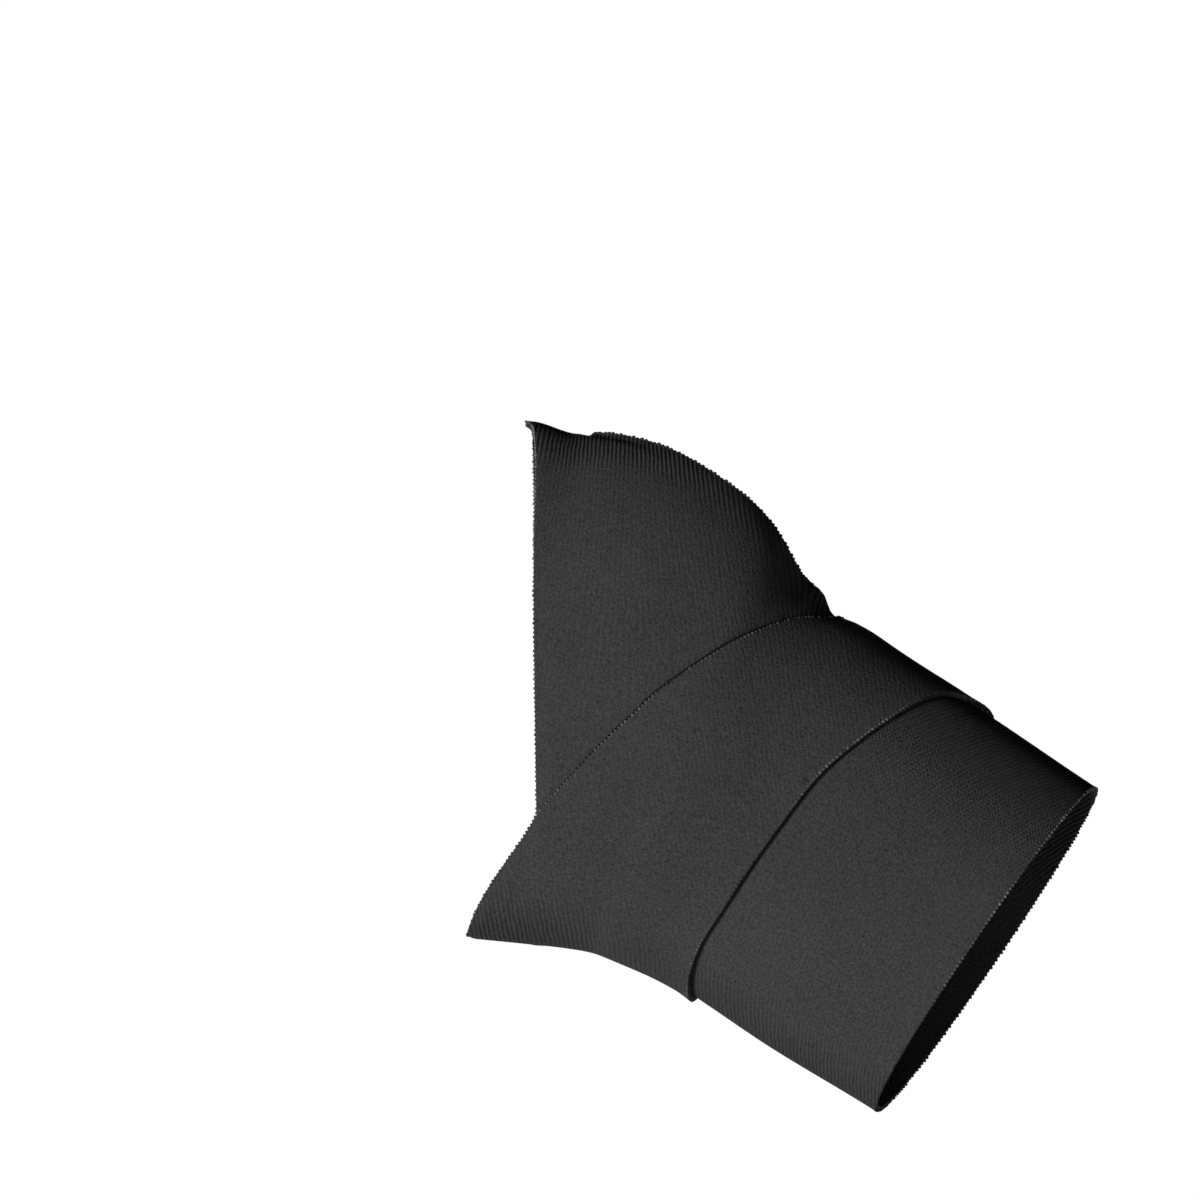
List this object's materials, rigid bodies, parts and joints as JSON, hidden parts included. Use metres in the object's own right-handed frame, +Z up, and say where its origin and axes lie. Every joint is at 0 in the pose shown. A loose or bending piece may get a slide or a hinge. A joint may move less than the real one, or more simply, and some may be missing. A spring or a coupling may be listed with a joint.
{
  "type": "thumb loop wrist wrap",
  "caption": "Thin charcoal knit wrist wrap with a thumb hole and a strap crossing the back of the hand, in its worn form.",
  "frame": {"origin": "the middle of the wrist, in the hollow where the wrap sits on it", "axes": "+Z up, along the height of the worn wrap from the little finger side to the thumb; +X level towards the forearm; -Y out of the back of the hand"},
  "size_m": [0.0982, 0.0546, 0.1076],
  "materials": {
    "sleeve_knit": "matt fine-ribbed elastic knit, charcoal",
    "strap_knit": "matt fine-ribbed elastic knit, charcoal",
    "hook_tape": "woven hook tape, black, low sheen"
  },
  "bodies": {
    "root": {"thumb_sleeve": "sleeve_knit", "cross_strap": "strap_knit", "hook_tab": "hook_tape"}
  },
  "joints": []
}
